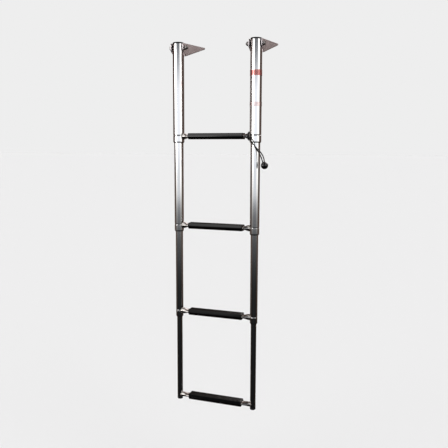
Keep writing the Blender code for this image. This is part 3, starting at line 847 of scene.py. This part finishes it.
def make_caps(material):
    """Rounded plugs in the tops of the upper tubes and feet on the last ones."""
    outer = RADII[0]
    plug = outer - WALLS[0] - GAP
    base = TUBE_TOPS[0] + GAP
    top, low = high_of("right_top_cap"), low_of("right_top_cap")
    cap = ((0.0, top, 0.0), (outer, top, CAP_ROUNDING), (outer, base, 0.0002),
           (plug, base, 0.0), (plug, low, 0.0005), (plug - PLUG_WALL, low, 0.0003),
           (plug - PLUG_WALL, base, 0.0), (0.0, base, 0.0))
    add_pair("top_cap", rounded(cap, 7), material, "section_1")
    outer = size_of("right_foot_cap", 0) / 2.0
    leg = RADII[3]
    plug = leg - WALLS[3] - FOOT_GROOVE_DEPTH - GAP
    base = TUBE_ENDS[3] - GAP
    top, low = high_of("right_foot_cap"), low_of("right_foot_cap")
    neck = groove_points(0.0, TUBE_ENDS[3] + FOOT_GROOVE_ABOVE_END, FOOT_GROOVE_DEPTH,
                         FOOT_GROOVE_HALF_WIDTH, 1.0)
    foot = [(0.0, low, 0.0), (outer, low, FOOT_ROUNDING), (outer, base, 0.0003)]
    foot += [(leg + SKIN + r, z, 0.0) for r, z in reversed(neck)]
    foot += [(leg + SKIN_CLEARANCE + r, z, 0.0) for r, z in neck]
    foot += [(leg + SKIN_CLEARANCE, base, 0.0), (plug, base, 0.0), (plug, top, 0.0005),
             (plug - PLUG_WALL, top, 0.0003), (plug - PLUG_WALL, base, 0.0), (0.0, base, 0.0)]
    add_pair("foot_cap", rounded(foot, 7), material, "section_4")


# ---- rungs and treads ----
def rung_radius(section):
    """Radius of a rung where it meets its legs."""
    return min(RUNG_RADIUS, RUNG_TO_TUBE * RADII[section - 1])


def rung_stations(section):
    """(x, half depth, half height) from the leg inwards, on the +X side."""
    start = LEG_X - RADII[section - 1]
    round_to = start - RUNG_ROUND_LENGTH
    flat_from = TREAD_HALF_LENGTH + RUNG_ROUND_LENGTH
    radius = rung_radius(section)
    stations = [(start, radius, radius)]
    for k in range(1, RUNG_STATIONS + 1):
        share = k / RUNG_STATIONS
        ease = share * share * (3.0 - 2.0 * share)
        stations.append((round_to + (flat_from - round_to) * share,
                         radius + (RUNG_FLAT[0] - radius) * ease,
                         radius + (RUNG_FLAT[1] - radius) * ease))
    return stations


def rung_shell(bm, section, inset):
    """Rings of vertices along a rung, from the left end to the right one."""
    leg = RADII[section - 1] + GAP
    stations = rung_stations(section)
    whole = [(-1.0, s) for s in stations] + [(1.0, s) for s in reversed(stations)]
    rings = []
    for sign, (x, half_depth, half_height) in whole:
        ring = []
        for angle in turns(RUNG_RING):
            y = (half_depth - inset) * math.cos(angle)
            z = (half_height - inset) * math.sin(angle)
            reach = LEG_X - math.sqrt(leg * leg - y * y) if x == stations[0][0] else x
            ring.append(bm.verts.new((sign * reach, y, z)))
        rings.append(ring)
    return rings


def make_rungs(steel, weld):
    """Hollow rungs, round at the legs and pressed flat under the tread, with their welds."""
    for section in SECTIONS:
        bm = bmesh.new()
        outer = rung_shell(bm, section, 0.0)
        inner = rung_shell(bm, section, RUNG_WALL)
        for rings in (outer, inner, (outer[0], inner[0]), (outer[-1], inner[-1])):
            skin(bm, rings)
        body = "section_%d" % section
        name = "rung_%d" % section
        place = upright(0.0, 0.0, RUNG_HEIGHTS[section - 1])
        add_piece(name + "_piece", bm, steel, body, "polished_steel", [name], 40.0, place)
        for side, sign in SIDES:
            bead = weld_bead(section, rung_radius(section), sign)
            add_piece("%s_weld_%d" % (side, section), bead, weld,
                      body, "polished_steel", (), 60.0, place)


def weld_bead(section, radius, sign):
    """A rippled fillet of weld round the joint of a rung and its leg."""
    bm = bmesh.new()
    leg = RADII[section - 1]
    rings = []
    for angle in turns(WELD_FACETS):
        bead = WELD_RADIUS * (1.0 + WELD_RIPPLE * math.cos(WELD_RIPPLES * angle))
        y = radius * math.cos(angle)
        x = LEG_X - math.sqrt(leg * leg - y * y)
        ring = []
        for turn in turns(WELD_SIDES):
            out = radius + bead * math.cos(turn)
            ring.append(bm.verts.new((sign * (x - bead * math.sin(turn)),
                                      out * math.cos(angle), out * math.sin(angle))))
        rings.append(ring)
    skin(bm, rings, closed=True)
    return bm


def tread_outline():
    """Evenly spaced (point, outward normal) pairs round a tread's section."""
    top = TREAD_HALF_DEPTH - TREAD_TOP_SLOPE
    bottom = TREAD_HALF_DEPTH - TREAD_BOTTOM_SLOPE
    half = [(bottom, -TREAD_HALF_HEIGHT, 0.0035), (TREAD_HALF_DEPTH, -TREAD_LIP, 0.0010),
            (TREAD_HALF_DEPTH, TREAD_LIP, 0.0010), (top, TREAD_HALF_HEIGHT, 0.0020)]
    corners = rounded([(-x, y, radius) for x, y, radius in reversed(half)] + half, 8)
    closed = corners + [corners[0]]
    lengths = [(b - a).length for a, b in zip(closed, closed[1:])]
    count = int(sum(lengths) / (RIB_PITCH / 8.0))
    step = sum(lengths) / count
    points = []
    part, passed = 0, 0.0
    for k in range(count):
        wanted = k * step
        while passed + lengths[part] < wanted:
            passed += lengths[part]
            part += 1
        a, b = closed[part], closed[part + 1]
        points.append(a.lerp(b, (wanted - passed) / lengths[part]))
    pairs = []
    for k, point in enumerate(points):
        way = points[(k + 1) % count] - points[k - 1]
        pairs.append((point, Vector((way.y, -way.x)).normalized()))
    middle = sum(points, Vector((0.0, 0.0))) / count
    if (pairs[0][0] - middle).dot(pairs[0][1]) < 0.0:
        pairs = [(p, -n) for p, n in pairs]
    return pairs


def make_treads(material):
    """Ribbed plastic treads with rounded rims and stepped ends, over the flat rungs."""
    pairs = tread_outline()
    ribs = []
    for point, normal in pairs:
        wave = 0.5 + 0.5 * math.cos(2.0 * math.pi * point.x / RIB_PITCH)
        ribs.append(-RIB_HEIGHT * (1.0 - wave ** 0.6) if normal.y > TREAD_FLAT else 0.0)
    # (distance in from the end, inset from the outline, share of the ribs), from the recess
    # in the end over the rim and on to the ribbed part
    rim, ease = TREAD_RIM, TREAD_EASE
    half = [(TREAD_RECESS, rim + 0.0002, 0.0), (0.0002, rim + 0.0002, 0.0), (0.0, rim, 0.0),
            (0.0, ease, 0.0), (0.3 * ease, 0.3 * ease, 0.0), (ease, 0.0, 0.0),
            (ease + 0.0015, 0.0, 0.0), (ease + 0.0022, 0.0, 1.0)]
    bm = bmesh.new()
    loops = []
    for sign, steps in ((-1.0, half), (1.0, reversed(half))):
        for back, inset, share in steps:
            loop = []
            for (point, normal), rib in zip(pairs, ribs):
                place = point - normal * (inset - rib * share)
                loop.append(bm.verts.new((sign * (TREAD_HALF_LENGTH - back), *place)))
            loops.append(loop)
    wide, tall = RUNG_FLAT[0] + GAP, RUNG_FLAT[1] + GAP
    for sign in (1.0, -1.0):
        loop = []
        for point, normal in pairs:
            angle = math.atan2(point.y, point.x)
            reach = 1.0 / math.hypot(math.cos(angle) / wide, math.sin(angle) / tall)
            loop.append(bm.verts.new((sign * (TREAD_HALF_LENGTH - TREAD_RECESS),
                                      reach * math.cos(angle), reach * math.sin(angle))))
        loops.append(loop)
    skin(bm, loops, closed=True)
    shape = to_mesh("tread", bm)
    for section in SECTIONS:
        name = "tread_%d" % section
        add_piece(name + "_piece", shape.copy(), material, "section_%d" % section,
                  "tread_plastic", [name], 38.0, upright(0.0, 0.0, centre_of(name, 2)))


# ---- brackets and pivots ----
def bracket_mesh():
    """A folded channel bracket round its pivot: two ears, a base, its holes, soft edges."""
    to_side = Matrix(((0, 0, 1, 0), (1, 0, 0, 0), (0, 1, 0, 0), (0, 0, 0, 1)))
    to_front = Matrix(((1, 0, 0, 0), (0, 0, -1, 0), (0, 1, 0, 0), (0, 0, 0, 1)))
    inside = CHANNEL_INSIDE
    outside = inside + SHEET
    # the helpers reach well past what they cut
    reach = outside + 0.002
    tall = 0.10
    base = -BASE_DROP
    floor = base + SHEET
    fold = FOLD_RADIUS
    blank = tool_object("blank", prism(rounded(EAR_OUTLINE, 8), -reach, reach), to_side)
    channel = rounded((
        (-outside, tall, 0.0), (-outside, base, fold), (outside, base, fold),
        (outside, tall, 0.0), (inside, tall, 0.0), (inside, floor, fold - SHEET),
        (-inside, floor, fold - SHEET), (-inside, tall, 0.0)), 6)
    mouth = rounded(((-inside, -0.10, 0.0), (inside, -0.10, 0.0), (inside, BASE_START, 0.0030),
                     (-inside, BASE_START, 0.0030)), 6)
    steps = [("INTERSECT", tool_object("channel", prism(channel, -0.30, 0.30), to_front)),
             ("DIFFERENCE", tool_object("mouth", prism(mouth, base - 0.01, 0.002))),
             ("DIFFERENCE", cone_tool("bolt", BOLT_RADIUS + GAP, 0.1, ABOUT_X))]
    sink = 2.0 * SCREW_SINK_RADIUS
    for along in SCREW_HOLES:
        steps += [("DIFFERENCE", cone_tool("screw", SCREW_RADIUS, 0.02,
                                           upright(0.0, along, base))),
                  ("DIFFERENCE", cone_tool("sink", sink, sink, upright(0.0, along, floor),
                                           point=True))]
    return with_booleans(blank, steps, BRACKET_SOFTENING)


def hex_solid(height, low_chamfer, bore):
    """A hexagonal head or nut body about Z, its corners turned off by cones."""
    apothem = HEX_RADIUS * math.cos(math.radians(30.0))
    spare = HEX_RADIUS - apothem
    rise = spare * CHAMFER_SLOPE
    chamfer = [(apothem - 0.0001 + spare * k / 5.0, rise * k / 5.0) for k in range(6)]
    profile = chamfer if low_chamfer else [(HEX_RADIUS, 0.0)]
    profile = profile + [(HEX_RADIUS, height * 0.5)]
    profile += [(radius, height - drop) for radius, drop in reversed(chamfer)]
    if bore:
        profile += [(bore + 0.0005, height), (bore, height - 0.0005), (bore, 0.0005),
                    (bore + 0.0005, 0.0)]
    else:
        profile += [(apothem * 0.72, height), (apothem * 0.66, height - 0.0002),
                    (0.0, height - 0.0002), (0.0, 0.0)]

    def to_hex(angle, radius, place):
        """Cut a turned point back to the hexagon's flats."""
        return min(radius, apothem / math.cos(angle % SIXTH - SIXTH / 2.0)), place

    return lathe(profile, TUBE_FACETS, to_hex)


def threaded_rod(length, radius):
    """A threaded stretch about Z from 0 to length, its far end chamfered."""
    bm = bmesh.new()
    rows = int(length / THREAD_PITCH * 10)
    rings = []
    for j in range(rows + 1):
        height = length * j / rows
        ring = []
        for k, angle in enumerate(turns(THREAD_FACETS)):
            share = (height / THREAD_PITCH - k / THREAD_FACETS) % 1.0
            depth = max(THREAD_DEPTH * abs(2.0 * share - 1.0),
                        THREAD_CHAMFER - (length - height))
            ring.append(bm.verts.new(((radius - depth) * math.cos(angle),
                                      (radius - depth) * math.sin(angle), height)))
        rings.append(ring)
    skin(bm, rings, capped=True)
    return bm


def make_brackets(satin, fastener, nylon, plastic):
    """Deck brackets with their pivot bolts, locking nuts and washers."""
    shape = bracket_mesh()
    tilt = Matrix.Rotation(BRACKET_TILT, 4, "X")
    bore = BOLT_RADIUS + GAP
    sleeve = RADII[0]
    ear = CHANNEL_INSIDE + SHEET + GAP
    seat = ear + WASHER + GAP
    thread = NUT_LENGTH * 0.6
    tip = seat + NUT_LENGTH - thread
    shank = seat + tip
    core = ((BOLT_RADIUS, 0.0), (BOLT_RADIUS, shank), (0.0, shank), (0.0, 0.0))
    # (piece, solid, whether on the nut's side, place along the pivot, CAD node, sharp angle)
    parts = (
        ("_bolt_head", lambda: hex_solid(BOLT_HEAD, False, 0.0), False, seat,
         "_pivot_bolt", 25.0),
        ("_bolt_shank", lambda: lathe(core, SMALL_FACETS), True, -seat, "", 40.0),
        ("_bolt_thread", lambda: threaded_rod(thread + GAP + BOLT_STAND_OUT, BOLT_RADIUS),
         True, tip, "", 60.0),
        ("_locknut", lambda: hex_solid(NUT_HEX, True, BOLT_RADIUS + 0.0001), True, seat,
         "_pivot_nut", 25.0),
        ("_locknut_collar", lambda: lathe(rounded(NUT_COLLAR), COLLAR_FACETS), True,
         seat + NUT_HEX, "", 40.0),
    )
    # (piece, outer radius, lowest and highest along the pivot, material, its slot)
    rings = (
        ("_pivot_sleeve", 0.0060, -sleeve, sleeve, fastener, "fastener_steel"),
        ("_outer_flat_washer", 0.0080, ear, ear + WASHER, fastener, "fastener_steel"),
        ("_inner_flat_washer", 0.0080, -ear - WASHER, -ear, fastener, "fastener_steel"),
        ("_outer_side_washer", 0.0115, sleeve + GAP, CHANNEL_INSIDE - GAP, nylon,
         "washer_nylon"),
        ("_inner_side_washer", 0.0115, GAP - CHANNEL_INSIDE, -sleeve - GAP, nylon,
         "washer_nylon"),
    )
    for side, sign in SIDES:
        x = sign * LEG_X
        out, back = (upright(x, 0.0, PIVOT_Z) @ Matrix.Rotation(way * math.pi / 2.0, 4, "Y")
                     for way in (sign, -sign))
        add_piece(side + "_bracket_piece", shape.copy(), satin, "brackets", "satin_steel",
                  [side + "_bracket"], 30.0, upright(x, 0.0, PIVOT_Z) @ tilt)
        for name, make, nut_side, low, stands_for, sharp in parts:
            place = (back if nut_side else out) @ upright(0.0, 0.0, low)
            add_piece(side + name, make(), fastener, "brackets", "fastener_steel",
                      [side + stands_for] if stands_for else (), sharp, place)
        add_piece(side + "_locknut_insert", lathe(rounded(NUT_INSERT, 3), COLLAR_FACETS),
                  plastic, "brackets", "bush_plastic", (), 40.0,
                  back @ upright(0.0, 0.0, seat + NUT_HEX))
        for name, radius, low, high, material, slot in rings:
            soft = min(0.0003, (high - low) / 3.0)
            ring = rounded(((bore, low, soft), (radius, low, soft), (radius, high, soft),
                            (bore, high, soft)), 3)
            body = frame["nodes"][side + name]["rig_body"]
            add_piece(side + name + "_piece", lathe(ring, RING_FACETS), material, body, slot,
                      [side + name], 40.0, out)


# ---- bands and strap ----
def make_bands(films):
    """Two plain printed bands round the right leg, with UVs in metres."""
    for k, film in enumerate(films):
        name = "band_%d" % (k + 1)
        outer = size_of(name, 0) / 2.0
        inner = RADII[0] + BAND_CLEARANCE
        low, high = low_of(name), high_of(name)
        bm = lathe([(outer, high), (outer, low), (inner, low), (inner, high)], TUBE_FACETS)
        layer = bm.loops.layers.uv.new("UVMap")
        for face in bm.faces:
            angles = [math.atan2(v.co.y, v.co.x) for v in face.verts]
            seam = max(angles) - min(angles) > math.pi
            for loop in face.loops:
                angle = math.atan2(loop.vert.co.y, loop.vert.co.x)
                if seam and angle < 0.0:
                    angle += 2.0 * math.pi
                loop[layer].uv = (angle * outer, loop.vert.co.z - low)
        add_piece(name + "_piece", bm, film, "section_1", "band_red", [name], 40.0,
                  upright(LEG_X))


def braided(name, points, closed=False):
    """A braided cord tube along close points, with its relief kept as an attribute."""
    bm = bmesh.new()
    relief = []
    rings = []
    count = len(points)
    side = (points[1] - points[0]).normalized().orthogonal().normalized()
    travelled = 0.0
    for i, point in enumerate(points):
        if closed:
            ahead, behind = points[(i + 1) % count], points[i - 1]
        else:
            ahead, behind = points[min(i + 1, count - 1)], points[max(i - 1, 0)]
        way = (ahead - behind).normalized()
        side = (side - way * side.dot(way)).normalized()
        other = way.cross(side)
        if i:
            travelled += (point - points[i - 1]).length
        twist = 2.0 * math.pi * travelled / BRAID_LAY
        ring = []
        for angle in turns(BRAID_CARRIERS * 6):
            height = max(math.cos(BRAID_CARRIERS * angle + twist),
                         math.cos(BRAID_CARRIERS * angle - twist))
            radius = CORD_RADIUS + BRAID_RELIEF * (height - 1.0)
            ring.append(bm.verts.new(point + side * radius * math.cos(angle)
                                     + other * radius * math.sin(angle)))
            # the relief also paints the cord's colour: lighter crests are a painted highlight,
            # darker grooves a painted shade
            relief.append(0.5 + 0.5 * height)
        rings.append(ring)
    skin(bm, rings, closed, not closed)
    mesh = to_mesh(name, bm)
    layer = mesh.attributes.new("relief", "FLOAT", "POINT")
    layer.data.foreach_set("value", relief)
    return mesh


def lean(direction):
    """The turn that takes Z to a direction."""
    return Vector((0.0, 0.0, 1.0)).rotation_difference(direction).to_matrix().to_4x4()


def make_strap(cord, ball_material):
    """Elastic retaining strap: two braided strands, their hitch, and the ball on the end."""
    centre = Vector(BALL_CENTRE)
    profile = []
    for k in range(BALL_STEPS + 1):
        angle = math.pi * k / BALL_STEPS
        seam = SEAM_HEIGHT * math.exp(-((angle - math.pi / 2.0) / SEAM_SPREAD) ** 2)
        radius = BALL_RADIUS - SEAM_HEIGHT + seam
        profile.append((radius * math.sin(angle), radius * math.cos(angle)))
    ball = add_piece("strap_ball_piece", lathe(profile, RING_FACETS), ball_material, "section_1",
                     "ball_plastic", ["strap_ball"], 40.0,
                     upright(*centre) @ lean(Vector(BALL_AXIS).normalized()))
    for letter, route in (("a", STRAND_A), ("b", STRAND_B)):
        name = "strap_strand_" + letter
        line = catmull_rom(route, STRAND_POINTS)
        fine = catmull_rom(route, FINE_POINTS)
        strand = add_piece(name + "_piece", braided(name, fine), cord, "section_1",
                           "cord_black", [name], 60.0)
        out = (Vector(route[-1]) - centre).normalized()
        ring = add_piece("strap_collar_" + letter, lathe(rounded(CORD_COLLAR), SMALL_FACETS),
                         ball_material, "section_1", "ball_plastic", (), 40.0,
                         upright(*(centre + out * BALL_RADIUS)) @ lean(out))
    ring = [Vector((HITCH_X, HITCH_RING_RADIUS * math.cos(angle),
                    RUNG_HEIGHTS[0] + HITCH_RING_RADIUS * math.sin(angle)))
            for angle in turns(HITCH_POINTS)]
    add_piece("strap_hitch_piece", braided("strap_hitch", ring, True), cord, "section_1",
              "cord_black", ["strap_hitch"], 60.0)
    add_piece("strap_bight", braided("strap_bight", catmull_rom(BIGHT, BIGHT_POINTS)), cord,
              "section_1", "cord_black", (), 60.0)


# ---- build ----
bpy.context.scene.view_settings.view_transform = "Standard"
make_camera()
make_world()
make_floor()
STEEL = polished_steel()
FASTENER = fastener_steel()
TREAD = moulded_plastic("tread plastic", (0.0016, 0.0016, 0.0018), (0.0034, 0.0032, 0.0034),
                        (0.04, 0.08), 0.0006, 0.000002)
BUSH = moulded_plastic("bush plastic", (0.0024, 0.0024, 0.0026), (0.0054, 0.0053, 0.0055),
                       (0.22, 0.32), 0.0004, 0.00001)
make_strap(cord_black(), ball_plastic())
make_tubes(STEEL)
make_bushes(BUSH)
make_caps(BUSH)
make_rungs(rung_steel(), weld_steel())
make_treads(TREAD)
make_brackets(satin_steel(), FASTENER, washer_nylon(), BUSH)
make_bands((band_film("band film upper", 0.62, 0.98),
            band_film("band film lower", 0.10, 0.36)))
